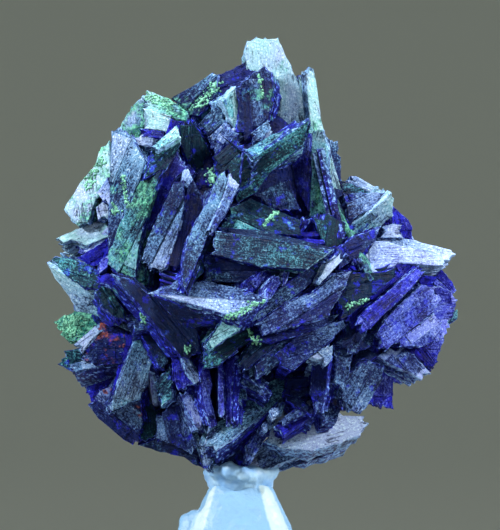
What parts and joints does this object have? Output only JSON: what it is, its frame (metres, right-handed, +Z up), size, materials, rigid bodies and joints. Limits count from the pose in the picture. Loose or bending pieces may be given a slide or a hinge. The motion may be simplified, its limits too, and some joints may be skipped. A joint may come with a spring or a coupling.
{
  "type": "azurite specimen",
  "caption": "Rosette of deep blue tabular azurite crystals with green malachite, held upright by putty on a tapered block.",
  "frame": {"origin": "centre of the stand's flat foot", "axes": "+Z up through the specimen, +X to the right as seen in the picture, -Y towards the viewer"},
  "size_m": [0.0586, 0.0415, 0.0858],
  "materials": {
    "azurite": "satin crystal faces with frosty, finely speckled growth and deep blue edges",
    "malachite": "matt green crust in small botryoidal patches",
    "tack": "satin, kneaded",
    "stand": "satin, slightly uneven"
  },
  "bodies": {
    "root": {"azurite_cluster": "azurite", "mineral_tack": "tack", "stand": "stand"}
  },
  "joints": []
}
